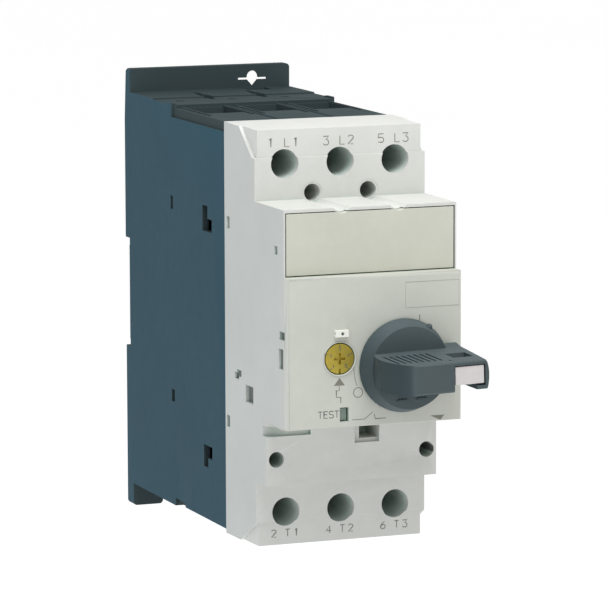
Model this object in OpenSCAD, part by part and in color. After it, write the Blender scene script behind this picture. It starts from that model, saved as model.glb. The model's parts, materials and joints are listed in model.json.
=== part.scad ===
// Three-pole motor protection breaker with a rotary handle, for a 35 mm rail.
// X runs to the right, Y to the back and Z up. The origin is the middle of the
// flat that seats on the rail. Depths d are measured forwards from that flat.

/* [Housing] */
// overall width of the breaker
width = 55; // [54:0.5:57]
// distance between two poles
pitch = 17.8; // [17.6:0.1:18]
// depth of the joint between the base and the front housing
joint_d = 89.5; // [88.5:0.5:90]
// height of the raised rear part of the base above the rail centre
rear_top = 65.1; // [64.8:0.1:65.4]
// height of the underside of the base, below the rail centre
base_low = 61.7; // [61.6:0.1:62]
// height of the underside of its rear part, below the rail centre
rear_low = 62.7; // [62.5:0.1:63.5]
// height of the top of the front housing above the rail centre
front_top = 63.9; // [63.6:0.1:64.1]
// depth of the terminal block faces
block_d = 115.5; // [114:0.5:117]
// depth of the lower step
step_d = 124.7; // [123:0.1:126]
// depth of the upper cover face
cover_d = 139.7; // [139:0.1:140]
// depth of the control panel face
panel_d = 143.8; // [143.6:0.1:144]

/* [Back plate] */
// how far the plate stands behind the rail seat
recess_d = 3.7; // [3.4:0.1:4.2]
// depth of the front of the plate
plate_d = 2.2; // [2:0.1:2.6]
// height of the recess that takes the rail
rail_gap = 35.4; // [35.2:0.1:35.8]
// top of the upper fixing tab above the rail centre
tab_top = 72.6; // [72:0.2:75]
// lower end of the lower fixing tab, below the rail centre
tab_low = 70; // [69:0.5:72]

/* [Controls] */
// turning axis of the handle, to the right of the middle
handle_x = 8.6; // [8.4:0.1:8.8]
// turning axis of the handle, above the rail centre
handle_z = -4.9; // [-5.2:0.1:-4.8]
// radius of the handle disc at the panel
disc_r = 14; // [13.5:0.1:14.4]
// angle by which the grip stands off the level when the breaker is off
grip_tilt = 1.5; // [0:0.5:3]
// depth of the front of the handle grip
grip_d = 173.2; // [172:0.2:175]
// radius of the setting dial
dial_r = 4.5; // [4.3:0.1:4.6]
// radius of the screwdriver openings of the terminals
access_r = 4.4; // [4.2:0.1:4.6]

/* [Hidden] */
half = width / 2;
base_top = front_top - 0.2;
poles = [-pitch, 0, pitch];
skin = 2;
shell = 1.8;
wall_x = pitch / 2;
wall_t = 1.6;
line_z = 53.2;
load_z = -52.4;
panel_z = 22.5;
ledge_z = 42.4;
block_z = 55.2;
label_d = block_d - 0.7;
label_in = 1.1;
low_front = -62.9;
dial_x = -11.5;
dial_z = -1.9;
test_x = -10;
test_z = -18.7;
trip_z = -16;
trip_d = 94;
coil_z = -22;
slide_z = -37;
bridge_z = 16;
plate_at = 124;
guide_r = access_r + 1;
entry_d = 44.5;
cage_d = 45.5;
seat_half = 15.3;
top_screws = [[-9, 44.3], [9, 44.3]];
low_screws = [[-24.3, -34.5], [24.3, -34.5]];
run = 0.05;
gap = 0.3;
disc_gap = 0.4;

dark = [0.22, 0.29, 0.34];
white = [0.80, 0.80, 0.76];
grey = [0.29, 0.34, 0.36];
brass = [0.66, 0.60, 0.24];
steel = [0.70, 0.71, 0.72];
copper = [0.72, 0.45, 0.30];
silver = [0.85, 0.85, 0.84];
pale = [0.84, 0.81, 0.81];
black = [0.12, 0.12, 0.13];

$fn = 48;

// a block between two x, two depths and two heights
module block(x0, x1, d0, d1, z0, z1) {
    translate([x0, -d1, z0]) cube([x1 - x0, d1 - d0, z1 - z0]);
}

// a round bar along the depth
module rod(x, z, d0, d1, r) {
    translate([x, -d0, z]) rotate([90, 0, 0]) cylinder(r = r, h = d1 - d0);
}

// a tube along the depth
module tube(x, z, d0, d1, r, bore) {
    difference() {
        rod(x, z, d0, d1, r);
        rod(x, z, d0 - 1, d1 + 1, bore);
    }
}

// a depth and height profile drawn out along x
module side_profile(x0, x1, points) {
    translate([x0, 0, 0]) rotate([90, 0, 90]) linear_extrude(x1 - x0)
        polygon([for (p = points) [-p[0], p[1]]]);
}

// a spring along the depth, drawn as closed turns
module turns(x, z, d0, d1, r, wire, count) {
    for (i = [0 : count - 1])
        translate([x, -(d0 + wire + i * (d1 - d0 - 2 * wire) / (count - 1)), z])
            rotate([90, 0, 0]) rotate_extrude() translate([r, 0]) circle(wire, $fn = 16);
}

// the same block on the left and on the right
module both_sides(x0, x1, d0, d1, z0, z1) {
    block(x0, x1, d0, d1, z0, z1);
    block(-x1, -x0, d0, d1, z0, z1);
}

// ---- casing ----

// windows in the side walls of the base, with the stepped ones for the hooks
module side_windows() {
    t = skin + 1;
    both_sides(half - t, half + 1, 40.3, 42.5, 31.8, 36);
    both_sides(half - t, half + 1, 69.7, 74.2, 28.4, 36.3);
    both_sides(half - t, half + 1, 74.1, 78, 28.4, 32.4);
    both_sides(half - t, half + 1, 40.3, 43, -29.5, -25.6);
    both_sides(half - t, half + 1, 69.9, 73.7, -45.4, -38.5);
    both_sides(half - t, half + 1, 73.6, 77.4, -42.4, -38.5);
}

module base_housing() {
    roof = base_top - 2.4;
    floor_z = 2.4 - base_low;
    color(dark) {
        difference() {
            union() {
                block(-half, half, plate_d, joint_d, -base_low, base_top);
                // the rear stands out below, and above in two steps
                block(-half, half, plate_d, entry_d - 1.2, -rear_low, 1 - base_low);
                block(-half, half, plate_d, entry_d - 1, base_top - 1, rear_top - 0.4);
                block(-half, half, plate_d, 24, base_top - 1, rear_top);
                both_sides(half - 1.2, half, 36, entry_d - 1, base_top - 1, rear_top);
                // rims along the entries
                for (x = poles, s = [-1, 1])
                    block(x + s * 7.1 - 0.35, x + s * 7.1 + 0.35, entry_d - 2, 70,
                        base_top - 1, base_top + 0.35);
            }
            block(skin - half, half - skin, 5, joint_d + 1, floor_z, roof);
            side_windows();
            // conductor entries, one above and one below each pole
            for (x = poles) {
                block(x - 6.7, x + 6.7, entry_d, 63, roof - 1, rear_top + 1);
                block(x - 6.7, x + 6.7, entry_d, 63, -base_low - 1, floor_z + 1);
                block(x - 4.6, x - 2, 30.5, 32.5, roof - 1, rear_top + 1);
                block(x - 4.6, x - 2, 30.5, 32.5, -rear_low - 1, floor_z + 1);
            }
            // grooves between the poles
            for (x = [-wall_x, wall_x]) {
                block(x - 0.6, x + 0.6, entry_d - 0.5, joint_d + 1, base_top - 1.2, rear_top + 1);
                block(x - 0.8, x + 1, 10, 29, rear_top - 1.6, rear_top + 1);
                block(x - 1.4, x + 1.6, 17, 26, rear_top - 1.6, rear_top + 1);
                block(x - 0.6, x + 0.6, entry_d, joint_d + 1, -base_low - 1, 1.2 - base_low);
            }
            for (s = low_screws) rod(s[0], s[1], 65, joint_d + 1, 1.5 + run);
            // rebates along the corners, and room for a screw head under the tab
            both_sides(half - 0.8, half + 1, 41.5, joint_d + 1, base_top - 2.9, rear_top + 1);
            both_sides(half - 0.9, half + 1, entry_d - 1.2, 52.4, -rear_low - 1, 1.4 - base_low);
            block(14.6 - 4, 14.6 + 4, plate_d - 1, 9, rear_top - 1.6, rear_top + 1);
        }
        difference() {
            union() {
                // walls between the poles, with posts that take the housing screws
                for (x = [-wall_x, wall_x])
                    block(x - wall_t / 2, x + wall_t / 2, 4, joint_d, floor_z - 1, roof + 1);
                for (s = top_screws) rod(s[0], s[1], 66, joint_d, 2.6);
                for (s = low_screws) {
                    rod(s[0], s[1], 66, joint_d, 2.8);
                    both_sides(abs(s[0]), half - 1, 66, joint_d, s[1] - 1, s[1] + 1);
                }
            }
            for (s = concat(top_screws, low_screws)) rod(s[0], s[1], 65, joint_d + 1, 1.5 + run);
            // room for the carrier, the trip slide and the trip bar
            block(-half, half, 54, joint_d + 1, bridge_z - 7.6, bridge_z + 7.6);
            block(-21.4, 21.4, 76, joint_d + 1, slide_z - 3.6, slide_z + 3.6);
        }
    }
}

// outline of the back plate, seen from the front
module plate_outline() {
    r = 1.2;
    difference() {
        union() {
            translate([-half, -rear_low]) square([width, rear_low + tab_top - r]);
            translate([-half + r, 0]) square([width - 2 * r, tab_top]);
            for (x = [-half + r, half - r]) translate([x, tab_top - r]) circle(r);
            translate([-half, r - tab_low]) square([10.1, tab_low - rear_low + 1]);
            translate([-half + r, -tab_low]) square([10.1 - 2 * r, r + 1]);
            for (x = [-half + r, -half + 10.1 - r]) translate([x, r - tab_low]) circle(r);
        }
        // keyhole in the upper tab: a round hole, a cross slot and a pointed end
        translate([14.7, 68.6]) {
            circle(2);
            translate([-5, -0.9]) square([10, 0.7]);
            polygon([[-1.6, -1.1], [1.6, -1.1], [0, -3]]);
        }
    }
}

module back_plate() {
    rail = rail_gap / 2;
    color(dark) difference() {
        union() {
            difference() {
                translate([0, recess_d, 0]) rotate([90, 0, 0])
                    linear_extrude(recess_d + plate_d) plate_outline();
                block(-half - 1, half + 1, -recess_d - 1, 0, -rail, rail);
                // relief above and below the seat
                block(-half - 1, half + 1, -1, 0.3, seat_half, rail);
                block(-half - 1, half + 1, -1, 0.3, -rail, -seat_half);
                // the upper tab tapers to its top, and is thinnest round the keyhole
                side_profile(-half - 1, half + 1, [[-recess_d - 1, 56], [-recess_d, 56],
                    [-2.3, tab_top], [-2.3, tab_top + 1], [-recess_d - 1, tab_top + 1]]);
                block(-half - 1, half + 1, 1.6, plate_d + 1, rear_top, tab_top + 1);
                block(6, 23.2, -recess_d - 1, 0.4, 64.6, tab_top - 1);
            }
            // lip that holds the upper edge of the rail
            block(-24, 24, -recess_d, -1.5, rail - 2, rail + 0.5);
            // cup for the latch spring
            block(-3, 3, -3.4, -0.1, -49.4, -39.4);
        }
        // channel for the latch, with a wider groove at its floor
        difference() {
            union() {
                block(-8.4, 8.4, -recess_d - 1, -0.2, -rear_low - 1, -rail + 1);
                block(-8.4, 8.4, -recess_d - 1, 0.3, -rail - 2, -rail + 1);
                block(-10.4, 10.4, -2.1, -0.2, -rear_low - 1, -rail + 1);
            }
            block(-3, 3, -3.4, 0, -49.4, -39.4);
        }
        translate([0, 1.8, -48.6]) cylinder(r = 1.2, h = 12);
    }
}

// outline of the front housing in depth and height
function front_profile() = [[joint_d, front_top], [label_d, front_top - 0.4], [label_d, block_z],
    [block_d, block_z], [block_d, ledge_z], [cover_d, ledge_z], [cover_d, -panel_z],
    [step_d, -panel_z], [step_d, -ledge_z], [block_d, -ledge_z], [block_d, -block_z],
    [label_d, -block_z], [label_d, low_front + 0.4], [joint_d, low_front]];

// inside of the front housing, one wall thickness in from the outline
function front_hollow() = [[joint_d - 1, front_top - shell], [label_d - shell, front_top - shell],
    [label_d - shell, ledge_z - shell], [cover_d - 17, ledge_z - shell],
    [cover_d - 17, panel_z - 1.4], [cover_d + 1, panel_z - 1.4], [cover_d + 1, 1.6 - panel_z],
    [step_d - shell, 1.6 - panel_z], [step_d - shell, shell - ledge_z],
    [label_d - shell, shell - ledge_z],
    [label_d - shell, low_front + shell], [joint_d - 1, low_front + shell]];

// the side skin behind each label block is cut off at a slant
module label_corners() {
    for (s = [-1, 1], t = [front_top, low_front]) {
        e = sign(t);
        a = s > 0 ? half - label_in : -half - 1;
        side_profile(a, a + label_in + 1, [[102, t + e], [102, t],
            [block_d - 1.2 - e * 1.1, e * block_z], [block_d + 1, e * block_z],
            [block_d + 1, t + e]]);
    }
}

// gripping scoop under the panel: deep at the side, running out into a narrow slit
module gripping_scoop() {
    intersection() {
        translate([0, -step_d + 8, 0]) rotate([90, 0, 0]) linear_extrude(9)
            polygon([[-half - 1, -27.5], [-half - 1, -24.3], [-25.6, -24.3], [-24.4, -24.6],
                [-22.2, -25.8], [-20.8, -26.1], [-13.3, -26.1], [-13.3, -27.5]]);
        linear_extrude(80, center = true)
            polygon([for (p = [[-half - 1, 121.2], [-half, 121.4], [-25, 121.9], [-22.6, 123],
                [-20.6, 123.6], [-13, 123.6], [-13, step_d + 1], [-half - 1, step_d + 1]])
                [p[0], -p[1]]]);
    }
}

module front_housing() {
    color(white) {
        difference() {
            union() {
                difference() {
                    side_profile(-half, half, front_profile());
                    side_profile(skin - half, half - skin, front_hollow());
                    // seat of the blank cover, with the accessory bay behind it
                    block(-half + 0.5, half - 0.5, cover_d - 2.3, cover_d + 1,
                        panel_z, ledge_z - 0.9);
                    block(-24, 24, cover_d - 15, cover_d + 1, panel_z + 2, ledge_z - 3);
                }
                // wells of the housing screws
                for (s = top_screws) rod(s[0], s[1], joint_d, block_d - 1, 3.7);
                for (s = low_screws) rod(s[0], s[1], joint_d, step_d - 1, 2.9);
                // backing of the gripping scoop and walls of the accessory pocket
                block(1 - half, -18, step_d - 5.6, step_d - 1, -29.4, -22);
                block(-0.3, 10, step_d - 12, step_d - 1, -32.2, -24);
            }
            for (x = poles, z = [line_z, load_z]) {
                rod(x, z, joint_d - 1, block_d + 1, access_r);
                // seat of the screwdriver guide
                rod(x, z, joint_d - 1, label_d - 1, guide_r + run);
            }
            for (s = top_screws) {
                rod(s[0], s[1], 100, block_d + 1, 2.6);
                rod(s[0], s[1], joint_d - 1, 101, 1.6);
                // the wells run on as grooves in the ledge
                rod(s[0], s[1], block_d - 0.1, cover_d + 1, 3.2);
            }
            for (s = low_screws) {
                rod(s[0], s[1], 108, step_d + 1, 2.4);
                rod(s[0], s[1], joint_d - 1, 109, 1.6);
            }
            label_corners();
            // thin slots and clip marks in the side walls
            for (s = [-1, 1]) mirror([s > 0 ? 1 : 0, 0, 0]) {
                e = -half - 1;
                block(e, e + 1.8, 91.4, 93.8, 31.6, 35.3);
                block(e, e + 1.8, 132, 134.4, 28.6, 31.1);
                block(e, e + 1.8, 90.7, 93.3, -29.5, -25.9);
                block(e, e + 1.8, 97.8, 101.6, -13.5, -11.5);
                block(e, e + 1.8, 99.8, 103.6, -12.5, -10.5);
                block(e, e + 2.2, 107.2, 113.7, -19.4, -14.1);
                block(e, e + 1.8, 135.4, 139, -5.1, 1);
                block(e, e + 1.8, 136, cover_d + 1, 3.7, 6.2);
            }
            gripping_scoop();
            // stepped pocket for the link of an accessory
            block(0.9, 8.9, step_d - 1.3, step_d + 1, -31, -25.2);
            block(2.8, 8.9, step_d - 10.8, step_d, -29.9, -25.2);
        }
        // tongues that reach in behind the side walls of the base
        for (z = [[29, 35], [-44.6, -39.4]]) {
            both_sides(half - skin - 1.3, half - skin - 0.1, 80, joint_d + 1, z[0], z[1]);
            both_sides(half - skin - 1.3, half - 1, joint_d, joint_d + 3, z[0], z[1]);
        }
    }
}

// tubes that lead a screwdriver to the terminals, each on a foot behind the front wall
module screwdriver_guides() {
    color(grey) for (x = poles, t = [[line_z, front_top - shell], [load_z, low_front + shell]])
        difference() {
            union() {
                rod(x, t[0], 78, label_d - 1, guide_r);
                block(x - 7.6, x + 7.6, joint_d + 0.1, joint_d + 1.3,
                    min(t[0] - sign(t[1]) * 5, t[1]), max(t[0] - sign(t[1]) * 5, t[1]));
            }
            rod(x, t[0], 77, label_d, access_r);
        }
}

module control_panel() {
    color(white) difference() {
        block(-half, half, cover_d, panel_d, -panel_z, panel_z);
        block(-half + shell, half - shell, cover_d - 1, panel_d - 2,
            -panel_z + shell, panel_z - shell);
        rod(handle_x, handle_z, panel_d - 4, panel_d + 1, 4 + run);
        rod(dial_x, dial_z, panel_d - 4, panel_d + 1, dial_r + gap);
        block(test_x - 1.35, test_x + 1.35, panel_d - 4, panel_d + 1,
            test_z - 2.1, test_z + 2.1);
        // clip marks that line up with the slots in the side walls
        both_sides(half - 0.8, half + 1, cover_d - 1, cover_d + 0.6, 3.7, 6.2);
    }
    color(white) tube(dial_x, dial_z, panel_d - 0.1, panel_d + 0.25, dial_r + 0.6, dial_r + gap);
    // the sealing lug, with a hole for the seal wire
    color(white) difference() {
        block(-13.2, -9.1, panel_d - 0.1, panel_d + 1.3, 4.7, 6.7);
        rod(-11, 5.7, panel_d, panel_d + 2, 0.5);
        translate([-14, -(panel_d + 0.6), 5.7]) rotate([0, 90, 0]) cylinder(r = 0.4, h = 6);
    }
}

module aux_cover() {
    x = half - 0.5 - gap;
    color(white) difference() {
        union() {
            block(-x, x, cover_d - 2, cover_d, panel_z + gap, ledge_z - 0.9 - gap);
            // fingers that reach into the accessory bay
            both_sides(21.4, 23.4, cover_d - 9, cover_d - 1.9, panel_z + 6, panel_z + 12);
        }
        for (s = top_screws) rod(s[0], s[1], cover_d - 3, cover_d + 1, 3.2 + gap);
    }
}

// one slotted cheese head screw, head to the front
module cheese_screw(x, z, d0, d1, r, head_r, head_t) {
    difference() {
        union() {
            rod(x, z, d0, d1, r);
            rod(x, z, d1 - 0.1, d1 + head_t, head_r);
        }
        block(x - head_r - 1, x + head_r + 1, d1 + head_t - 1, d1 + head_t + 1,
            z - 0.4, z + 0.4);
        block(x - 0.4, x + 0.4, d1 + head_t - 1, d1 + head_t + 1,
            z - head_r * 0.6, z + head_r * 0.6);
    }
}

module housing_screws() {
    color(steel) {
        for (s = top_screws) cheese_screw(s[0], s[1], 72, 101, 1.5, 2.5, 2);
        for (s = low_screws) cheese_screw(s[0], s[1], 72, 109, 1.5, 2.3, 2);
    }
}

// ---- handle, dial and test button ----

// pieces of the handle are drawn level about its axis and then set in place
module at_handle() {
    translate([handle_x, 0, handle_z]) rotate([0, -grip_tilt, 0]) children();
}

// grip outline from above, x from the axis and depth, before its left end is rounded
function grip_plan() = [[-16, 148], [-16, grip_d], [14.7, grip_d], [15.4, grip_d - 0.7],
    [16.9, 146.3], [10, 146.3], [10, 148]];

module grip_outline() {
    intersection() {
        polygon([for (p = grip_plan()) [p[0], -p[1]]]);
        translate([8.4, 14 - grip_d]) circle(21.9, $fn = 96);
    }
}

// corner between the round left end and the flat front, which has a soft edge
module grip_corner() {
    translate([-20, -grip_d - 1]) square([24, 14]);
}

module grip_bar() {
    difference() {
        intersection() {
            linear_extrude(14, center = true) {
                difference() {
                    grip_outline();
                    grip_corner();
                }
                intersection() {
                    offset(r = 3) offset(delta = -3) grip_outline();
                    grip_corner();
                }
            }
            // the right end is rounded off
            union() {
                translate([6, -146, 0.2]) rotate([90, 0, 0])
                    cylinder(r1 = 11.7, r2 = 9.35, h = grip_d - 145.9, $fn = 96);
                block(-20, 6, 145, grip_d + 1, -8, 8);
            }
            side_profile(-20, 20, [[146, 5.9], [149.2, 5.05], [grip_d - 0.5, 4.65],
                [grip_d, 4.25], [grip_d, -3.8], [grip_d - 0.5, -4.25], [149.2, -4.7],
                [146, -5.6]]);
        }
        // guide of the padlock slide, open at the front and underneath
        block(4.2, 13.9, 150.2, grip_d + 1, -2.5, 3.5);
        block(4.2, 11.2, 145, grip_d + 1, -7, -2.4);
        block(11, 13.9, 145, grip_d + 1, -2.8, -2.4);
        block(11, 18, 145, grip_d + 1, -7, -3.9);
        // shackle hole and a small mark in the top
        block(7, 13.3, 159, 166, 2, 8);
        translate([4.4, 3.8 - grip_d, 3.9]) cylinder(r = 0.5, h = 3);
        // gripping grooves
        for (i = [0 : 7]) {
            block(-11.3 + i * 1.9, -10.6 + i * 1.9, 155.5, grip_d - 5, 4.5, 8);
            block(-11.3 + i * 1.9, -10.6 + i * 1.9, 155.5, grip_d - 5, -8, -4.2);
        }
    }
}

module rotary_handle() {
    color(grey) at_handle() difference() {
        union() {
            // disc with a tapered edge
            translate([0, -(panel_d + disc_gap), 0]) rotate([90, 0, 0]) {
                cylinder(r = disc_r, h = 0.9);
                translate([0, 0, 0.9]) cylinder(r1 = disc_r, r2 = 13, h = 3.3);
                translate([0, 0, 4.2]) cylinder(r1 = 13, r2 = 12.35, h = 1.8);
            }
            grip_bar();
            translate([7.2, -(panel_d + 3.4), 11.2]) sphere(1.1);
            // raised marks on the lower half of the disc
            block(-4.6, -1.6, 149, 150.7, -9.7, -9.2);
            block(1.6, 4.6, 149, 150.7, -9.7, -9.2);
        }
        // square for the shaft
        block(-2.9, 2.9, panel_d, 158, -2.9, 2.9);
    }
}

module handle_shaft() {
    color(steel) at_handle() {
        rod(0, 0, 97, panel_d + disc_gap, 4);
        block(-2.8, 2.8, panel_d + 0.2, 157.5, -2.8, 2.8);
        // switching cam
        difference() {
            translate([0, -97, 0]) rotate([90, 0, 0]) linear_extrude(4) union() {
                circle(8);
                polygon([[-8, 0], [-11, 6], [-6, 11], [0, 8]]);
            }
            rod(0, 0, 90, 130, 3.9);
        }
    }
}

module return_spring() {
    color(steel) turns(handle_x, handle_z, 103, 121, 5.6, 0.7, 8);
}

module padlock_slide() {
    color(pale) at_handle() difference() {
        block(4.5, 13.6, 150.6, grip_d - 0.2, -2.2, 3.2);
        block(5.8, 12.2, 151.9, 158, -3, 5);
        block(5.8, 11.7, grip_d - 4, grip_d - 2.5, 2.4, 5);
    }
}

module setting_dial() {
    color(brass) difference() {
        rod(dial_x, dial_z, panel_d - 1.8, panel_d - 0.1, dial_r);
        // screwdriver cross and pointer groove
        block(dial_x - 1.7, dial_x + 1.7, panel_d - 1.2, panel_d + 1, dial_z - 0.4, dial_z + 0.4);
        block(dial_x - 0.4, dial_x + 0.4, panel_d - 1.2, panel_d + 1, dial_z - 1.7, dial_z + 1.7);
        block(dial_x - 0.3, dial_x + 0.3, panel_d - 0.9, panel_d + 1,
            dial_z - dial_r - 1, dial_z - dial_r * 0.66);
        rod(dial_x, dial_z, panel_d - 3, panel_d - 1.5, 1.5);
    }
}

module dial_spindle() {
    color(brass) {
        rod(dial_x, dial_z, 104, panel_d - 1.8, 2);
        rod(dial_x, dial_z, 103, panel_d - 1.5, 1.5);
        // eccentric that shifts the tripping point
        rod(dial_x + 1, dial_z, 100, 104, 3.2);
    }
}

module test_button() {
    color(dark) {
        block(test_x - 1.05, test_x + 1.05, 137.4, panel_d - 1.2, test_z - 1.8, test_z + 1.8);
        block(test_x - 2.6, test_x + 2.6, 137.4, 138.9, test_z - 1.8, test_z + 2.6);
        block(test_x - 0.8, test_x + 0.8, 99, 137.5, test_z - 1.2, test_z + 1.2);
    }
}

module test_spring() {
    color(steel) turns(test_x, test_z, 128.4, 137.4, 1.8, 0.25, 7);
}

// ---- rail latch ----

module din_latch() {
    rail = rail_gap / 2;
    color(black) difference() {
        union() {
            block(-8, 8, -3.4, -0.5, -54.4, -rail - gap);
            block(-10, 10, -1.8, -0.5, -54.4, -rail - 3);
            // nose that holds the lower edge of the rail
            block(-8, 8, -3.4, -1.5, -rail - 1, -rail + 2);
        }
        // window over the spring cup and slot for a screwdriver
        block(-3.4, 3.4, -5, 1, -49.8, -27);
        block(-4, 4, -5, 1, -53, -51.4);
    }
}

module latch_spring() {
    color(steel) for (i = [0 : 8])
        translate([0, 1.8, -42.9 + i * 1.95]) rotate_extrude()
            translate([0.75, 0]) circle(0.25, $fn = 16);
}

// ---- contacts ----

// moulded carrier across the three poles, moved backwards by the cam
module contact_carrier() {
    z = bridge_z;
    color(black) {
        block(-24, 24, 60, 67, z - 6.5, z + 6.5);
        // stem that runs forward to the cam
        block(handle_x - 3, handle_x + 3, 66.9, 96.4, z - 6.5, z - 3);
        block(handle_x - 3, handle_x + 3, 94, 96.4, z - 12, z - 3);
        for (x = poles) difference() {
            block(x - 5, x + 5, 28.4, 60.1, z - 3, z + 3);
            block(x - 3.6, x + 3.6, 29.7, 40, z - 4, z + 4);
        }
    }
}

module contact_bridges() {
    color(copper) for (x = poles)
        block(x - 3.5, x + 3.5, 29.75, 31.4, bridge_z - 10.6, bridge_z + 10.6);
}

module contact_springs() {
    color(steel) for (x = poles) turns(x, bridge_z, 31.45, 39.95, 2.4, 0.35, 6);
}

// silver pads: two on each fixed strip end, two on each bridge
module contact_pads() {
    color(silver) for (x = poles, s = [-1, 1])
        translate([x, -24.2, bridge_z + 8 * s]) rotate([90, 0, 0]) cylinder(r = 2.2, h = 1.5);
}

module line_contacts() {
    color(copper) for (x = poles) {
        block(x - 4.5, x + 4.5, cage_d + 14.2, cage_d + 16, 45.4, line_z + 5.8);
        block(x - 4.5, x + 4.5, 22.4, cage_d + 16, 44.6, 46.2);
        block(x - 4.5, x + 4.5, 22.4, 24.2, bridge_z + 4.8, 46.2);
    }
}

module load_contacts() {
    color(copper) for (x = poles) {
        block(x - 4.5, x + 4.5, 22.4, 24.2, -12.6, bridge_z - 4.8);
        block(x - 4.5, x + 4.5, 11.6, 24.2, -14.2, -12.5);
    }
}

// heavy strips from the bimetal feet to the load terminals
module load_strips() {
    color(copper) for (x = poles) {
        block(x - 4.5, x + 4.5, 8.4, 10.2, -45.6, -31.5);
        block(x - 4.5, x + 4.5, 8.4, cage_d + 16, -45.6, -44);
        block(x - 4.5, x + 4.5, cage_d + 14.2, cage_d + 16, load_z - 5.8, -45);
    }
}

// steel plates that split the arc
module arc_chutes() {
    color(steel) for (x = poles, zz = [[27.4, 42.6], [-10.6, 4.6]], i = [0 : 9]) difference() {
        block(x - 6.3, x + 6.3, 28 + i * 2.8, 29 + i * 2.8, zz[0], zz[1]);
        block(x - 2, x + 2, 20, 62, zz[0] > 0 ? zz[0] - 1 : zz[1] - 4,
            zz[0] > 0 ? zz[0] + 4 : zz[1] + 1);
    }
}

// insulating cheeks that hold the plates
module chute_cheeks() {
    color([0.75, 0.72, 0.62]) for (x = poles, z0 = [27.4, -10.6], s = [-1, 1])
        translate([x + s * 7 - 0.7, -56.2, z0]) cube([1.4, 29.6, 15.2]);
}

// ---- trips ----

module coil_windings() {
    color(copper) for (x = poles) {
        turns(x, coil_z, 14.4, 41.6, 4.9, 1, 12);
        block(x - 1.2, x + 1.2, 14.4, 16.4, coil_z + 4.6, -14.9);
        block(x - 1.2, x + 1.2, 11.6, 16.4, -15.2, -14.2);
    }
}

module coil_bobbins() {
    color(black) for (x = poles) {
        tube(x, coil_z, 13, 43, 3.8, 2.4 + run);
        tube(x, coil_z, 12.6, 14.2, 6.6, 2.4 + run);
        tube(x, coil_z, 41.8, 43.4, 6.6, 2.4 + run);
    }
}

// cores with a pocket for the plunger spring
module coil_cores() {
    color(steel) for (x = poles) difference() {
        rod(x, coil_z, 35.5, 45.6, 2.4);
        rod(x, coil_z, 35, 41.2, 1.95);
        rod(x, coil_z, 41, 46, 1.25);
    }
}

module coil_yokes() {
    color(steel) for (x = poles) difference() {
        block(x - 7.6, x + 7.6, 11, 45.2, coil_z - 6.3, coil_z + 6.3);
        block(x - 6.7, x + 6.7, 12.6, 43.4, coil_z - 7, coil_z + 7);
        rod(x, coil_z, 43, 46, 2.45);
        rod(x, coil_z, 10, 13, 2.8);
        block(x - 1.5, x + 1.5, 10, 13, coil_z + 2, coil_z + 8);
    }
}

// soft iron plunger with the striker pin that reaches the trip bar
module plunger(x) {
    color(steel) {
        rod(x, coil_z, 12, 32, 2.4);
        rod(x, coil_z, 31.9, 80, 0.95);
    }
}

module plunger_1() { plunger(-pitch); }
module plunger_2() { plunger(0); }
module plunger_3() { plunger(pitch); }

module plunger_spring(x) {
    color(steel) turns(x, coil_z, 32, 37.6, 1.5, 0.25, 5);
}

module plunger_spring_1() { plunger_spring(-pitch); }
module plunger_spring_2() { plunger_spring(0); }
module plunger_spring_3() { plunger_spring(pitch); }

module bimetal_strips() {
    color([0.62, 0.60, 0.56]) for (x = poles) {
        block(x - 0.5, x + 0.5, 10.2, 81.5, slide_z - 2.6, slide_z + 2.6);
    }
}

// flat heater wire wound round each bimetal
module heater_windings() {
    color([0.66, 0.62, 0.58]) for (x = poles, i = [0 : 8]) difference() {
        block(x - 1.9, x + 1.9, 18 + i * 4, 20 + i * 4, slide_z - 3.9, slide_z + 3.9);
        block(x - 1.1, x + 1.1, 17, 60, slide_z - 3.1, slide_z + 3.1);
    }
}

// bar that the bimetals push sideways
module trip_slide() {
    color([0.62, 0.16, 0.12]) difference() {
        block(-21, 19.6, 77.5, 82.5, slide_z - 3.2, slide_z + 3.2);
        for (x = poles) block(x - 2.3, x + 1, 76, 82, slide_z - 4, slide_z + 4);
    }
}

// rocking bar in front of the striker pins
module trip_bar() {
    color([0.62, 0.16, 0.12]) {
        translate([-22.4, -trip_d, trip_z]) rotate([0, 90, 0]) cylinder(r = 1.5, h = 44.8);
        for (x = poles) {
            block(x - 2, x + 2, 84, trip_d, trip_z - 0.9, trip_z + 0.9);
            block(x - 2, x + 2, 84, 85.5, coil_z - 2.5, trip_z + 0.5);
        }
    }
}

// ---- switch mechanism ----

module mechanism_frame() {
    color(steel) difference() {
        union() {
            both_sides(20, 21.5, 91, plate_at + 1.5, -18.8, 18.5);
            // ears that rest against the side walls of the housing
            both_sides(21.4, half - skin, 118, plate_at + 1.5, 9, 15);
            both_sides(21.4, half - skin, 118, plate_at + 1.5, -15, -9);
            block(-21.5, 21.5, plate_at, plate_at + 1.5, -18.8, 18.5);
        }
        rod(handle_x, handle_z, plate_at - 1, plate_at + 3, 4 + run);
        rod(dial_x, dial_z, plate_at - 1, plate_at + 3, 2 + run);
        block(test_x - 1.2, test_x + 1.2, plate_at - 1, plate_at + 3,
            test_z - 1.6, test_z + 1.6);
        translate([-25, -trip_d, trip_z]) rotate([0, 90, 0]) cylinder(r = 1.5 + run, h = 50);
        translate([-25, -112, 12]) rotate([0, 90, 0]) cylinder(r = 1.25, h = 50);
        block(-22, 22, 96, 106, -10, 8);
    }
}

// lever that holds the mechanism cocked
module latch_lever() {
    color(steel) difference() {
        union() {
            translate([-15.5, -112, 12]) rotate([0, 90, 0]) cylinder(r = 3, h = 10);
            block(-12.5, -8.5, 104, 112, 10.2, 13.8);
            block(-12.5, -8.5, 104, 106, 6, 13.8);
        }
        translate([-25, -112, 12]) rotate([0, 90, 0]) cylinder(r = 1.25 + run, h = 50);
    }
}

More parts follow.
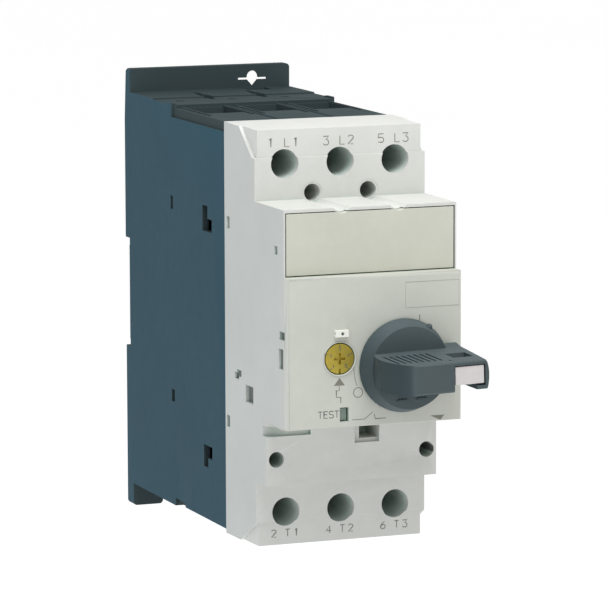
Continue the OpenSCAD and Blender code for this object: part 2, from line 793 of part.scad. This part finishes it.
module lever_pin() {
    color(steel) translate([-22, -112, 12]) rotate([0, 90, 0]) cylinder(r = 1.25, h = 44);
}

// ---- terminals ----

// clamping screw of a terminal, with its slotted head towards the tunnel
module terminal_screw(x, z) {
    color(steel) cheese_screw(x, z, cage_d + 17, cage_d + 26.4, 2.5, 3.8, 3.4);
}

// cage that draws the conductor against the strip
module terminal_clamp(x, z) {
    color(steel) difference() {
        block(x - 6.6, x + 6.6, cage_d, cage_d + 20, z - 6.3, z + 6.3);
        block(x - 5.1, x + 5.1, cage_d + 1.6, cage_d + 17.4, z - 7, z + 7);
        rod(x, z, cage_d + 10, cage_d + 30, 2.5 + run);
    }
}

module line_screw_1() { terminal_screw(-pitch, line_z); }
module line_screw_2() { terminal_screw(0, line_z); }
module line_screw_3() { terminal_screw(pitch, line_z); }
module load_screw_1() { terminal_screw(-pitch, load_z); }
module load_screw_2() { terminal_screw(0, load_z); }
module load_screw_3() { terminal_screw(pitch, load_z); }
module line_clamp_1() { terminal_clamp(-pitch, line_z); }
module line_clamp_2() { terminal_clamp(0, line_z); }
module line_clamp_3() { terminal_clamp(pitch, line_z); }
module load_clamp_1() { terminal_clamp(-pitch, load_z); }
module load_clamp_2() { terminal_clamp(0, load_z); }
module load_clamp_3() { terminal_clamp(pitch, load_z); }

base_housing();
back_plate();
front_housing();
screwdriver_guides();
control_panel();
aux_cover();
housing_screws();
rotary_handle();
handle_shaft();
return_spring();
padlock_slide();
setting_dial();
dial_spindle();
test_button();
test_spring();
din_latch();
latch_spring();
contact_carrier();
contact_bridges();
contact_springs();
line_contacts();
load_contacts();
load_strips();
contact_pads();
arc_chutes();
chute_cheeks();
coil_windings();
coil_bobbins();
coil_cores();
coil_yokes();
plunger_1();
plunger_2();
plunger_3();
plunger_spring_1();
plunger_spring_2();
plunger_spring_3();
bimetal_strips();
heater_windings();
trip_slide();
trip_bar();
latch_lever();
lever_pin();
mechanism_frame();
line_screw_1();
line_screw_2();
line_screw_3();
load_screw_1();
load_screw_2();
load_screw_3();
line_clamp_1();
line_clamp_2();
line_clamp_3();
load_clamp_1();
load_clamp_2();
load_clamp_3();
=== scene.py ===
import bpy, bmesh, json, math
from mathutils import Euler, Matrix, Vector


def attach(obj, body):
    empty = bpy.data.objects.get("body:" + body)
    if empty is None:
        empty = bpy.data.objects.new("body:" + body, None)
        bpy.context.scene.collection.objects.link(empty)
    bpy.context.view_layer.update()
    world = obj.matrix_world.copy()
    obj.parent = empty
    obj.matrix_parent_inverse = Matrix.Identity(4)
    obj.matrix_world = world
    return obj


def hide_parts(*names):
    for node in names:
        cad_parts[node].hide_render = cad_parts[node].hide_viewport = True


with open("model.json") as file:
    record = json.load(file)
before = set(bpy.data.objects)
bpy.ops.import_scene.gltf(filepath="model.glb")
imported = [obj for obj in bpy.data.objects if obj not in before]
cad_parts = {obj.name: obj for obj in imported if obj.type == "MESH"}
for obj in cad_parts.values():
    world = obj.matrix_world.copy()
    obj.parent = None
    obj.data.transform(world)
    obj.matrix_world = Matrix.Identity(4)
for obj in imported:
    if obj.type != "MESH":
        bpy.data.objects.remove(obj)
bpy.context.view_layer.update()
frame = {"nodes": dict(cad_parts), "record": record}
nodes = frame["nodes"]
MM = 0.001


def at(x, d, z):
    """A point from x, depth in front of the rail seat and height, in millimetres."""
    return Vector((x * MM, -d * MM, z * MM))


# ------------------------------------------------------------------ materials

class Mat:
    """A small builder for node materials in object space."""

    def __init__(self, name):
        self.material = bpy.data.materials.new(name)
        self.material.use_nodes = True
        self.tree = self.material.node_tree
        self.tree.nodes.clear()
        self.out = self.tree.nodes.new("ShaderNodeOutputMaterial")
        self.shader = self.tree.nodes.new("ShaderNodeBsdfPrincipled")
        self.tree.links.new(self.shader.outputs[0], self.out.inputs[0])
        self.place = self.tree.nodes.new("ShaderNodeTexCoord")

    def link(self, a, b):
        """Joins an output socket to an input socket."""
        self.tree.links.new(a, b)

    def noise(self, scale, detail=4.0, rough=0.55, stretch=None):
        """Noise in object space, with its cells drawn out along the axes where stretch is given."""
        n = self.tree.nodes.new("ShaderNodeTexNoise")
        n.inputs["Scale"].default_value = scale
        n.inputs["Detail"].default_value = detail
        n.inputs["Roughness"].default_value = rough
        if stretch:
            mp = self.tree.nodes.new("ShaderNodeMapping")
            mp.inputs["Scale"].default_value = stretch
            self.link(self.place.outputs["Object"], mp.inputs[0])
            self.link(mp.outputs[0], n.inputs["Vector"])
        else:
            self.link(self.place.outputs["Object"], n.inputs["Vector"])
        return n.outputs["Fac"]

    def remap(self, src, lo, hi, a=0.0, b=1.0):
        """Maps src from the span a to b onto the span lo to hi, and holds it there."""
        r = self.tree.nodes.new("ShaderNodeMapRange")
        r.inputs["From Min"].default_value = a
        r.inputs["From Max"].default_value = b
        r.inputs["To Min"].default_value = lo
        r.inputs["To Max"].default_value = hi
        self.link(src, r.inputs["Value"])
        return r.outputs[0]

    def mix(self, fac, a, b):
        """Colour a where fac is 0 and colour b where it is 1."""
        m = self.tree.nodes.new("ShaderNodeMix")
        m.data_type = "RGBA"
        for sock, v in ((m.inputs[0], fac), (m.inputs[6], a), (m.inputs[7], b)):
            if isinstance(v, (int, float)):
                sock.default_value = v
            elif isinstance(v, tuple):
                sock.default_value = (*v, 1)
            else:
                self.link(v, sock)
        return m.outputs[2]

    def calc(self, a, b, op="ADD"):
        """One step of arithmetic on two values or sockets."""
        m = self.tree.nodes.new("ShaderNodeMath")
        m.operation = op
        for sock, v in ((m.inputs[0], a), (m.inputs[1], b)):
            if isinstance(v, (int, float)):
                sock.default_value = v
            else:
                self.link(v, sock)
        return m.outputs[0]

    def recess(self, reach):
        """How open the surface is to its surroundings, 1 in the open and 0 deep in a hole."""
        n = self.tree.nodes.new("ShaderNodeAmbientOcclusion")
        n.samples = 8
        n.inputs["Distance"].default_value = reach
        return n.outputs["AO"]

    def sideways(self, reach, axis, within):
        """1 where the surface faces left or right and lies beyond reach along the axis, within where
        it faces left or right nearer than that, 0 elsewhere."""
        part = self.tree.nodes.new("ShaderNodeSeparateXYZ")
        self.link(self.place.outputs["Normal"], part.inputs[0])
        facing = self.remap(self.calc(part.outputs["X"], 0.0, "ABSOLUTE"), 0, 1, 0.45, 0.9)
        place = self.tree.nodes.new("ShaderNodeSeparateXYZ")
        self.link(self.place.outputs["Object"], place.inputs[0])
        far = self.calc(place.outputs[axis], 0.0, "ABSOLUTE")
        outer = self.remap(far, within, 1, reach - 0.0003, reach)
        return self.calc(facing, outer, "MULTIPLY")

    def bump(self, height, strength, distance, normal=None):
        """A relief on top of the normal given."""
        b = self.tree.nodes.new("ShaderNodeBump")
        b.inputs["Strength"].default_value = strength
        b.inputs["Distance"].default_value = distance
        self.link(height, b.inputs["Height"])
        if normal is not None:
            self.link(normal, b.inputs["Normal"])
        return b.outputs[0]


def shade(c, k):
    """A lighter or darker tone of a colour."""
    return tuple(min(1.0, v * k) for v in c)


# cells of the moulded grain in a metre, and how near in metres a wall has to be for the painted shade
# of a recess to darken a surface
GRAIN_SCALE = 2000
RECESS_SHADE_REACH = 0.005


def patchy(m, slow, base):
    """A colour with slow, slight changes of tone."""
    return m.mix(m.remap(slow, 0, 1, 0.3, 0.7), shade(base, 0.95), shade(base, 1.05))


def plastic(name, base, rough=0.5, grain=0.35, sheen=0.45, worn=0.12, deep=None,
            flank=None, reach=0.0272, axis="X", within=0.0):
    """Moulded plastic: grain, slow tone changes, scuffs, and painted shade, the darker tone deep,
    where walls close round in recesses and inner corners.
    flank is a tone for surfaces that face left or right. It stands in for the way the object looks
    in coloured side light; the plastic itself is most likely one colour."""
    m = Mat(name)
    slow = m.noise(28, 3)
    mid = m.noise(260, 5, 0.6)
    fine = m.noise(GRAIN_SCALE, 2, 0.5)
    scuff = m.noise(900, 6, 0.7, (1.0, 0.35, 0.12))
    c = patchy(m, slow, base)
    c = m.mix(m.remap(mid, 0, 0.5, 0.45, 0.75), c, shade(base, 1.09))
    c = m.mix(m.remap(scuff, 0, worn, 0.60, 0.78), c, shade(base, 1.35))
    if flank:
        c = m.mix(m.sideways(reach, axis, within), c, patchy(m, slow, flank))
    if deep:
        # painted shade: the tone deep darkens the colour in holes, slots and inner corners, where
        # shade falls
        c = m.mix(m.remap(m.recess(RECESS_SHADE_REACH), 1, 0, 0.12, 0.62), c, deep)
    m.link(c, m.shader.inputs["Base Color"])
    r = m.calc(m.remap(mid, rough - 0.06, rough + 0.07), m.remap(scuff, 0.0, 0.12, 0.58, 0.8))
    m.link(r, m.shader.inputs["Roughness"])
    m.shader.inputs["Specular IOR Level"].default_value = sheen
    n = m.bump(mid, 0.10, 0.00012)
    n = m.bump(fine, grain, 0.00005, n)
    m.link(n, m.shader.inputs["Normal"])
    return m.material


def metal(name, base, rough=0.32, brush=(1, 1, 1), tone=0.12, stain=None):
    """Bare or plated metal: brushed streaks, uneven plating, small stains."""
    m = Mat(name)
    streak = m.noise(1500, 4, 0.6, brush)
    slow = m.noise(120, 4)
    spots = m.noise(1900, 3, 0.7)
    c = m.mix(m.remap(slow, 0, 1, 0.3, 0.7), shade(base, 1 - tone), shade(base, 1 + tone))
    c = m.mix(m.remap(streak, 0, 0.5, 0.45, 0.7), c, shade(base, 0.82))
    c = m.mix(m.remap(spots, 0, 0.5, 0.66, 0.8), c, stain or shade(base, 0.5))
    m.link(c, m.shader.inputs["Base Color"])
    m.shader.inputs["Metallic"].default_value = 1.0
    m.link(m.calc(m.remap(streak, rough - 0.08, rough + 0.12), m.remap(spots, 0, 0.2, 0.6, 0.8)),
           m.shader.inputs["Roughness"])
    m.link(m.bump(streak, 0.25, 0.00003), m.shader.inputs["Normal"])
    return m.material


def ink(name, base):
    """Pad-printed ink: slightly uneven cover."""
    m = Mat(name)
    n = m.noise(2600, 4, 0.7)
    c = m.mix(m.remap(n, 0, 0.6, 0.5, 0.75), base, shade(base, 1.35))
    m.link(c, m.shader.inputs["Base Color"])
    m.link(m.remap(n, 0.45, 0.65), m.shader.inputs["Roughness"])
    m.shader.inputs["Specular IOR Level"].default_value = 0.3
    return m.material


DARK = (0.036, 0.052, 0.056)
DARK_FLANK = (0.031, 0.073, 0.097)
# painted shade: the darker tone the white mouldings take in recesses, in place of the shade that falls
# there
RECESS_SHADE = (0.31, 0.44, 0.36)
MATERIALS = {
    "dark_moulding": plastic("dark_moulding", DARK, 0.6, 0.45, 0.06, 0.20, flank=DARK_FLANK),
    "white_moulding": plastic("white_moulding", (0.56, 0.565, 0.535), 0.48, 0.30, 0.45, 0.04,
                              deep=RECESS_SHADE, flank=(0.475, 0.49, 0.47)),
    "panel_moulding": plastic("panel_moulding", (0.525, 0.535, 0.48), 0.46, 0.30, 0.45, 0.04,
                              deep=RECESS_SHADE),
    "cover_moulding": plastic("cover_moulding", (0.51, 0.515, 0.44), 0.42, 0.22, 0.4, 0.04),
    "guide_moulding": plastic("guide_moulding", (0.54, 0.61, 0.57), 0.5, 0.3, 0.4, 0.1),
    "handle_moulding": plastic("handle_moulding", (0.074, 0.096, 0.103), 0.5, 0.50, 0.1, 0.22,
                               flank=(0.034, 0.05, 0.055), reach=0.1515, axis="Y",
                               within=0.55),
    "recess_moulding": plastic("recess_moulding", (0.14, 0.15, 0.145), 0.6, 0.3, 0.2, 0.05),
    "lug_moulding": plastic("lug_moulding", (0.80, 0.80, 0.74), 0.35, 0.1, 0.45, 0.02),
    "slide_moulding": plastic("slide_moulding", (0.62, 0.585, 0.575), 0.34, 0.12, 0.5, 0.03),
    "button_moulding": plastic("button_moulding", (0.21, 0.27, 0.23), 0.4, 0.2),
    "latch_moulding": plastic("latch_moulding", (0.018, 0.019, 0.021), 0.45, 0.4),
    "carrier_moulding": plastic("carrier_moulding", (0.022, 0.022, 0.024), 0.5, 0.4),
    "bobbin_moulding": plastic("bobbin_moulding", (0.05, 0.05, 0.052), 0.5, 0.3),
    "trip_moulding": plastic("trip_moulding", (0.42, 0.045, 0.03), 0.42, 0.3),
    "chute_fibre": plastic("chute_fibre", (0.42, 0.36, 0.25), 0.75, 0.6, 0.2, 0.3),
    "zinc_screw": metal("zinc_screw", (0.74, 0.74, 0.72), 0.24),
    "shaft_steel": metal("shaft_steel", (0.52, 0.52, 0.52), 0.3, (1, 0.1, 1)),
    "spring_steel": metal("spring_steel", (0.45, 0.45, 0.46), 0.28),
    "dial_brass": metal("dial_brass", (0.60, 0.48, 0.09), 0.45, (1, 1, 1), 0.12, (0.16, 0.10, 0.03)),
    "spindle_brass": metal("spindle_brass", (0.62, 0.50, 0.20), 0.32, (1, 0.1, 1)),
    "copper": metal("copper", (0.72, 0.36, 0.22), 0.36, (1, 0.15, 1)),
    "winding_copper": metal("winding_copper", (0.55, 0.22, 0.10), 0.22),
    "silver": metal("silver", (0.82, 0.81, 0.78), 0.3),
    "chute_steel": metal("chute_steel", (0.55, 0.55, 0.56), 0.35, (0.15, 1, 1)),
    "soft_iron": metal("soft_iron", (0.42, 0.42, 0.42), 0.4),
    "bimetal": metal("bimetal", (0.50, 0.47, 0.42), 0.38, (1, 0.1, 1)),
    "heater_wire": metal("heater_wire", (0.48, 0.44, 0.40), 0.4),
    "lever_steel": metal("lever_steel", (0.55, 0.55, 0.54), 0.34),
    "frame_steel": metal("frame_steel", (0.58, 0.58, 0.55), 0.36, (1, 0.2, 1), 0.1, (0.45, 0.42, 0.3)),
    "terminal_steel": metal("terminal_steel", (0.42, 0.43, 0.42), 0.3),
    "clamp_steel": metal("clamp_steel", (0.52, 0.53, 0.52), 0.34, (1, 0.2, 1)),
}
INK = ink("print_grey", (0.20, 0.195, 0.165))
INK_DARK = ink("print_dark", (0.10, 0.11, 0.105))
INK_FAINT = ink("print_faint", (0.33, 0.33, 0.28))

slots = {s["node"]: s["material_slot"] for s in frame["record"]["subparts"]}
for name, obj in nodes.items():
    mat = MATERIALS[slots[name]]
    obj.data.materials.clear()
    obj.data.materials.append(mat)

body_of = {n: b for b, ns in frame["record"]["behaviour"]["bodies"].items() for n in ns}


# ------------------------------------------------------- rounded moulded skins

# the part of a crossing edge that a radius may take, and the cosine over which an edge runs along
EDGE_ROOM = 0.42
ALONG = 0.85
WELD = 1e-6
FLAT_ANGLE = math.radians(0.6)
SHARP_ANGLE = math.radians(28)


def room(edge):
    """The radius in mm that fits at an edge: under half of the shortest edge that crosses it."""
    free = math.inf
    way = (edge.verts[1].co - edge.verts[0].co).normalized()
    for v in edge.verts:
        for other in v.link_edges:
            if other is not edge:
                side = (other.other_vert(v).co - v.co).normalized()
                if abs(side.dot(way)) < ALONG:
                    free = min(free, other.calc_length() / MM)
    return free * EDGE_ROOM


def rounded(node, width, segments=2, share=None, plain_cut=False):
    """A copy of a CAD node with moulded edge radii, shown in place of it. share(middle, way) gives
    the part of the width that an edge takes, from its middle in mm and its direction; without it
    all edges take the same, as much as the smallest has room for. plain_cut splits the faces with
    many corners first, so that a face with openings in it stays open."""
    me = nodes[node].data.copy()
    ob = bpy.data.objects.new(node + "_skin", me)
    bpy.context.scene.collection.objects.link(ob)
    bm = bmesh.new()
    bm.from_mesh(me)
    bmesh.ops.remove_doubles(bm, verts=bm.verts, dist=WELD)
    bmesh.ops.dissolve_limit(bm, angle_limit=FLAT_ANGLE, verts=bm.verts, edges=bm.edges)
    if plain_cut:
        bmesh.ops.triangulate(bm, faces=[f for f in bm.faces if len(f.verts) > 4])
    weight = bm.edges.layers.float.new("bevel_weight_edge")
    for e in bm.edges:
        if len(e.link_faces) == 2 and e.calc_face_angle(0) > SHARP_ANGLE:
            a, b = (v.co / MM for v in e.verts)
            e[weight] = 1.0
            if share:
                e[weight] = min(share((a + b) / 2, (b - a).normalized()), room(e) / width)
    bm.to_mesh(me)
    bm.free()
    for p in me.polygons:
        p.use_smooth = True
    me.set_sharp_from_angle(angle=SHARP_ANGLE)
    mod = ob.modifiers.new("edge_radius", "BEVEL")
    mod.width = width * MM
    mod.segments = segments
    mod.limit_method = "WEIGHT"
    mod.use_clamp_overlap = share is None
    mod.harden_normals = True
    bpy.context.view_layer.update()
    dg = bpy.context.evaluated_depsgraph_get()
    done = bpy.data.meshes.new_from_object(ob.evaluated_get(dg))
    ob.modifiers.clear()
    ob.data = done
    done.materials.clear()
    done.materials.append(MATERIALS[slots[node]])
    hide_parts(node)
    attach(ob, body_of[node])
    return ob


def repaint(skin, mat, chosen):
    """Gives a second material to the faces that chosen(middle in mm, normal) picks."""
    skin.data.materials.append(mat)
    for face in skin.data.polygons:
        if chosen(face.center / MM, face.normal):
            face.material_index = 1


def side_slot(mid, normal):
    """The floors of the small slots and clip marks, 0.3 to 1.3 mm below the side walls."""
    return 26.2 < abs(mid.x) < 27.2 and abs(mid.z) < 45 and abs(normal.x) > 0.9


def sealing_lug(mid, normal):
    """The lug above the dial, in front of the panel's face."""
    return -mid.y > 143.9 and -13.6 < mid.x < -8.8 and 4.4 < mid.z < 7


# the depth behind which the panel's edges meet the housing, the foot of its top edge, and the
# patch of the lug with its seat
PANEL_EDGES = 142
PANEL_TOP = 22.3
LUG_X = (-14, -8.5)
LUG_Z = (4, 7.4)


def panel_share(mid, way):
    """The top front edge is broadly rounded. The rear edges and the small lug stay sharp."""
    on_lug = LUG_X[0] < mid.x < LUG_X[1] and LUG_Z[0] < mid.z < LUG_Z[1]
    if -mid.y < PANEL_EDGES or on_lug:
        return 0.0
    return 1.0 if mid.z > PANEL_TOP and abs(way.x) > 0.9 else 0.3


rounded("base_housing", 0.28, plain_cut=True)
rounded("back_plate", 0.35)
# a darker material stands in for the deep shade in the side slots
repaint(rounded("front_housing", 0.30), MATERIALS["recess_moulding"], side_slot)
# the sealing lug looks a cleaner white than the panel round it
repaint(rounded("control_panel", 1.1, 4, share=panel_share), MATERIALS["lug_moulding"], sealing_lug)
for name, width in (("aux_cover", 0.20), ("rotary_handle", 0.32), ("padlock_slide", 0.22),
                    ("setting_dial", 0.10), ("test_button", 0.12), ("din_latch", 0.20)):
    rounded(name, width)

# -------------------------------------------------------------- printed marks

# how far the ink stands off its surface, so that the two never lie in one plane
INK_LIFT = 0.015
# where a mark lies: the depth of its plane, the body it rides on and the slot of that body
ON_LABEL = (114.8 + INK_LIFT, "casing", "white_moulding")
ON_PANEL = (143.8 + INK_LIFT, "casing", "panel_moulding")
ON_DIAL = (143.7 + INK_LIFT, "dial", "dial_brass")


def printed(name, bm, where, mat):
    """Makes a flat printed object of a bmesh."""
    bmesh.ops.recalc_face_normals(bm, faces=bm.faces)
    me = bpy.data.meshes.new(name)
    bm.to_mesh(me)
    bm.free()
    ob = bpy.data.objects.new(name, me)
    bpy.context.scene.collection.objects.link(ob)
    me.materials.append(mat)
    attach(ob, where[1])


def strokes(name, lines, width, where, mat, closed=False):
    """Printed lines of constant width through (x, z) points in mm."""
    bm = bmesh.new()
    for pts in lines:
        n = len(pts)
        left, right = [], []
        for i in range(n):
            if closed:
                a, b = pts[(i - 1) % n], pts[(i + 1) % n]
            else:
                a, b = pts[max(i - 1, 0)], pts[min(i + 1, n - 1)]
            along = Vector((b[0] - a[0], b[1] - a[1]))
            along.normalize()
            across = Vector((-along.y, along.x)) * width / 2
            mitre = 1.0
            if 0 < i < n - 1 or closed:
                before = Vector(pts[i]) - Vector(a)
                if before.length > 0:
                    before.normalize()
                    mitre = 1 / max(0.5, abs(before.dot(along)))
            dx, dz = across.x * mitre, across.y * mitre
            left.append(bm.verts.new(at(pts[i][0] + dx, where[0], pts[i][1] + dz)))
            right.append(bm.verts.new(at(pts[i][0] - dx, where[0], pts[i][1] - dz)))
        for i in range(n if closed else n - 1):
            j = (i + 1) % n
            bm.faces.new((left[i], left[j], right[j], right[i]))
    printed(name, bm, where, mat)


def area(name, pts, where, mat):
    """A filled printed shape through (x, z) points in mm."""
    bm = bmesh.new()
    bm.faces.new([bm.verts.new(at(x, where[0], z)) for x, z in pts])
    printed(name, bm, where, mat)


def arc(x, z, radius, start, step, count):
    """Points on a circle round (x, z), from start, in degrees."""
    turns = [math.radians(start + k * step) for k in range(count)]
    return [(x + radius * math.cos(a), z + radius * math.sin(a)) for a in turns]


# single-stroke characters on a 4 by 6 grid, as a printed technical face
GLYPHS = {
    "1": [[(1.2, 5), (2.4, 6), (2.4, 0)]],
    "2": [[(0, 5), (1, 6), (3, 6), (4, 5), (4, 4), (0, 0), (4, 0)]],
    "3": [[(0, 6), (4, 6), (2, 3.6), (3, 3.6), (4, 2.6), (4, 1), (3, 0), (1, 0), (0, 1)]],
    "4": [[(3, 0), (3, 6), (0, 2), (4.2, 2)]],
    "5": [[(4, 6), (0.4, 6), (0, 3.4), (3, 3.6), (4, 2.6), (4, 1), (3, 0), (0, 0.4)]],
    "6": [[(3.4, 6), (1, 4), (0, 2), (0, 1), (1, 0), (3, 0), (4, 1), (4, 2.4), (3, 3.4), (1, 3.4),
           (0, 2)]],
    "L": [[(0.4, 6), (0.4, 0), (3.8, 0)]],
    "T": [[(0, 6), (4, 6)], [(2, 6), (2, 0)]],
    "E": [[(4, 6), (0.3, 6), (0.3, 0), (4, 0)], [(0.3, 3.2), (3.4, 3.2)]],
    "S": [[(4, 5.2), (3.2, 6), (0.8, 6), (0, 5.2), (0, 4), (0.8, 3.3), (3.2, 2.8), (4, 2), (4, 0.8),
           (3.2, 0), (0.8, 0), (0, 0.8)]],
}


def write(name, text, x, z, height, width, where, mat, gap=1.6, centre=False):
    """Letters made of strokes, with their lower left corner or their centre at (x, z)."""
    k = height / 6
    step = (4 + gap) * k
    total = step * len(text) - gap * k
    start_x = x - (total / 2 if centre else 0)
    start_z = z - (height / 2 if centre else 0)
    lines = [[(start_x + px * k + i * step, start_z + pz * k) for px, pz in line]
             for i, ch in enumerate(text) for line in GLYPHS[ch]]
    strokes(name, lines, width, where, mat)


# terminal numbers: row, letter, first number, height of the foot, height of the characters,
# places beside the pole, gap between the letters
POLES = (-17.8, 0.0, 17.8)
ROWS = (("line", "L", 1, 58.3, 2.6, (-5.2, 0.03), 2.35),
        ("load", "T", 2, -60.1, 2.2, (-4.45, 0.05), 3.36))
LABEL_STROKE = 0.3
for i, x in enumerate(POLES):
    for row, letter, first, foot, height, beside, gap in ROWS:
        write(f"{row}_number_{i + 1}", str(2 * i + first), x + beside[0], foot, height,
              LABEL_STROKE, ON_LABEL, INK)
        write(f"{row}_letter_{i + 1}", f"{letter}{i + 1}", x + beside[1], foot, height,
              LABEL_STROKE, ON_LABEL, INK, gap=gap)

# the marks on the panel
DIAL_X, DIAL_Z = -11.5, -1.9
HANDLE_X, HANDLE_Z = 8.6, -4.9
write("test_word", "TEST", -18.4, -19.4, 2.0, 0.24, ON_PANEL, INK_DARK, gap=1.3)
strokes("off_mark", [arc(-5.7, -12.3, 1.45, 0, 9, 40)], 0.26, ON_PANEL, INK, closed=True)
strokes("on_mark", [[(14.0, 9.9), (14.0, 7.3)]], 0.3, ON_PANEL, INK)
strokes("turn_mark", [arc(HANDLE_X, HANDLE_Z, 15.6, 200, -2, 14)], 0.2, ON_PANEL, INK)
area("dial_pointer_mark", [(-13.4, -9.9), (-9.9, -9.9), (-11.6, -7.6)], ON_PANEL, INK)
strokes("overload_symbol", [[(-11.7, -10.0), (-11.7, -11.4), (-12.6, -11.4), (-12.6, -13.4),
                             (-11.2, -13.4), (-11.2, -15.2)]], 0.24, ON_PANEL, INK)
strokes("switch_symbol", [[(-7.6, -20.4), (-3.6, -20.4), (-1.0, -18.4)],
                          [(-0.6, -19.0), (-0.2, -20.5), (3.2, -20.5)]], 0.22, ON_PANEL, INK)
area("accessory_mark", [(17.5, -20.7), (22.0, -20.7), (20.7, -22.2)], ON_PANEL, INK)
strokes("label_frame", [[(9.5, 12.2), (9.5, 19.75), (26.7, 19.75), (26.7, 12.1), (9.7, 12.1)]],
        0.13, ON_PANEL, INK_FAINT)

# the scale of the dial: the angle of its first digit, the step to the next, and its radii
SCALE_START, SCALE_STEP = 228, -69
TICK_RADII = (3.75, 4.2)
DIGIT_RADIUS = 3.0
for k, digit in enumerate("12345"):
    a = math.radians(SCALE_START + k * SCALE_STEP)
    across, up = math.cos(a), math.sin(a)
    tick = [(DIAL_X + r * across, DIAL_Z + r * up) for r in TICK_RADII]
    strokes(f"dial_tick_{k + 1}", [tick], 0.28, ON_DIAL, INK_DARK)
    write(f"dial_scale_{k + 1}", digit, DIAL_X + DIGIT_RADIUS * across, DIAL_Z + DIGIT_RADIUS * up,
          0.9, 0.16, ON_DIAL, INK_DARK, centre=True)

# ----------------------------------------------------------------- the studio

FLOOR_Z = -0.20
FLOOR_HALF = 6


def pale_floor():
    """A pale matt surface, nearly even in tone."""
    m = Mat("studio_floor")
    m.link(m.mix(m.remap(m.noise(3, 3), 0, 1), (0.93, 0.93, 0.93), (0.95, 0.95, 0.95)),
           m.shader.inputs["Base Color"])
    m.shader.inputs["Roughness"].default_value = 0.9
    m.shader.inputs["Specular IOR Level"].default_value = 0.1
    m.shader.inputs["Emission Color"].default_value = (1.0, 1.0, 1.0, 1)
    m.shader.inputs["Emission Strength"].default_value = 0.45
    return m.material


corners = [(FLOOR_HALF * x, FLOOR_HALF * y, FLOOR_Z) for x, y in ((-1, -1), (1, -1), (1, 1), (-1, 1))]
floor_mesh = bpy.data.meshes.new("studio_floor")
floor_mesh.from_pydata(corners, [], [(0, 1, 2, 3)])
floor_mesh.materials.append(pale_floor())
floor = bpy.data.objects.new("studio_floor", floor_mesh)
bpy.context.scene.collection.objects.link(floor)

# the sky lights the object less brightly than it shows behind it
SKY_LIGHT, SKY_SEEN = 0.58, 1.06
world = bpy.data.worlds.new("studio_world")
world.use_nodes = True
tree = world.node_tree
sky = tree.nodes["Background"]
sky.inputs[0].default_value = (1.0, 1.0, 1.0, 1)
ray = tree.nodes.new("ShaderNodeLightPath")
strength = tree.nodes.new("ShaderNodeMapRange")
strength.inputs["To Min"].default_value = SKY_LIGHT
strength.inputs["To Max"].default_value = SKY_SEEN
tree.links.new(ray.outputs["Is Camera Ray"], strength.inputs["Value"])
tree.links.new(strength.outputs[0], sky.inputs[1])
bpy.context.scene.world = world


def light(name, place, target, size, power, colour=(1, 1, 1)):
    """A soft area light at place, turned to the target."""
    data = bpy.data.lights.new(name, "AREA")
    data.shape = "RECTANGLE"
    data.size, data.size_y = size
    data.energy = power
    data.color = colour
    ob = bpy.data.objects.new(name, data)
    bpy.context.scene.collection.objects.link(ob)
    ob.location = place
    ob.rotation_mode = "QUATERNION"
    ob.rotation_quaternion = (Vector(target) - Vector(place)).to_track_quat("-Z", "Y")


light("key_front", (-0.03, -0.24, 0.28), (0, -0.115, 0.05), (0.22, 0.16), 0.68)
light("top_soft", (-0.05, -0.10, 0.60), (0, -0.09, 0), (0.5, 0.4), 0.85)
light("fill_left", (-0.9, -0.35, 0.20), (0, -0.06, 0), (0.6, 0.8), 1.15, (0.58, 0.79, 1.0))

cam_data = bpy.data.cameras.new("photo_camera")
cam = bpy.data.objects.new("photo_camera", cam_data)
bpy.context.scene.collection.objects.link(cam)
cam.location = (-0.4724, -1.3023, 0.1951)
cam.rotation_euler = Euler((math.radians(81.756), math.radians(0.161), math.radians(-21.236)), "XYZ")
cam_data.lens = 253.6
cam_data.sensor_width = 36
cam_data.clip_start = 0.05
cam_data.clip_end = 60
bpy.context.scene.camera = cam
bpy.context.scene.view_settings.view_transform = "Standard"
